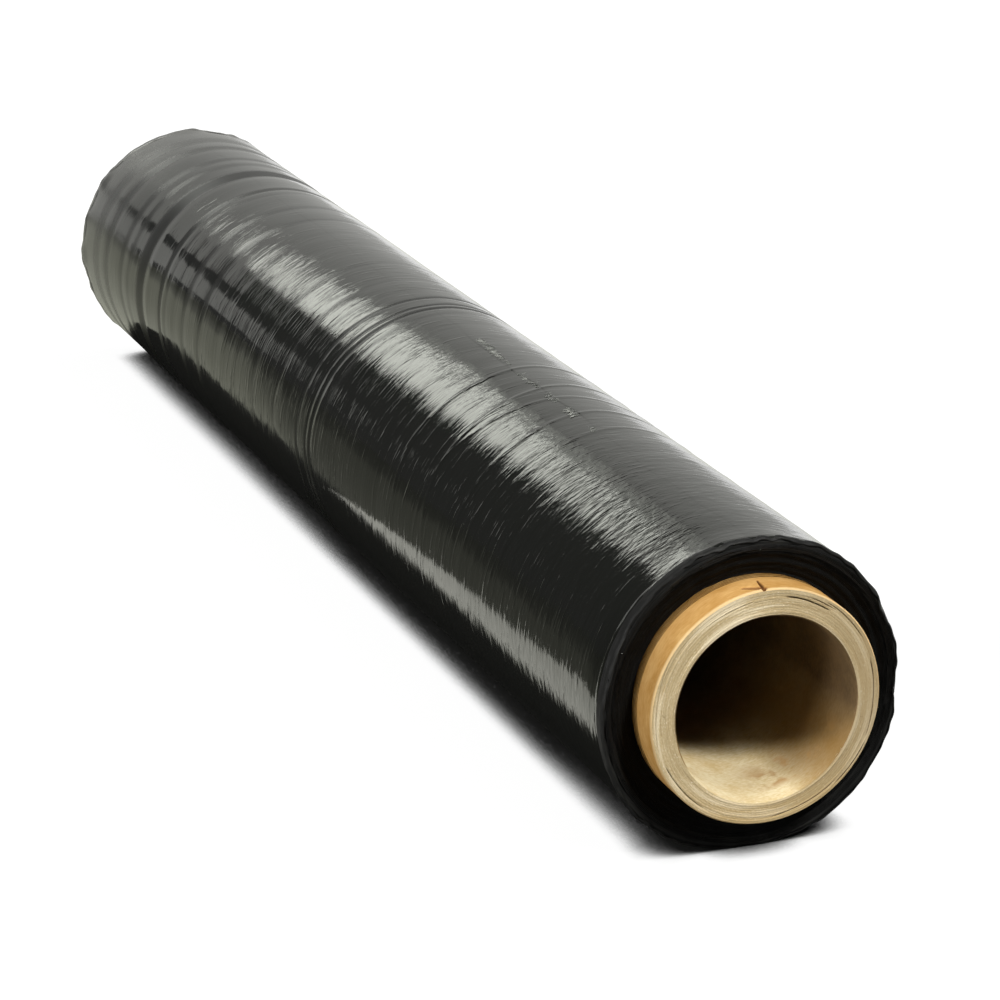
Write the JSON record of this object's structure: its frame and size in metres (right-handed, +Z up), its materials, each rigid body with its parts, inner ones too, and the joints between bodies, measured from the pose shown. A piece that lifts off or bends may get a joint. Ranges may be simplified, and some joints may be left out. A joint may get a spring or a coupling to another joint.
{
  "type": "stretch wrap roll",
  "caption": "Roll of black stretch film wound on a thick cardboard core, lying on its side, with the core standing out a little at both ends.",
  "frame": {"origin": "on the floor, below the middle of the roll", "axes": "+X along the roll's axis towards the end that the picture shows, +Z up"},
  "size_m": [0.5174, 0.083, 0.0825],
  "materials": {
    "core": "brown kraft skin, paler grey board at the sawn ends",
    "film": "glossy black polyethylene film, wound tight, with fine streaks round the roll"
  },
  "bodies": {
    "root": {"cardboard_core": "core", "stretch_film": "film"}
  },
  "joints": []
}
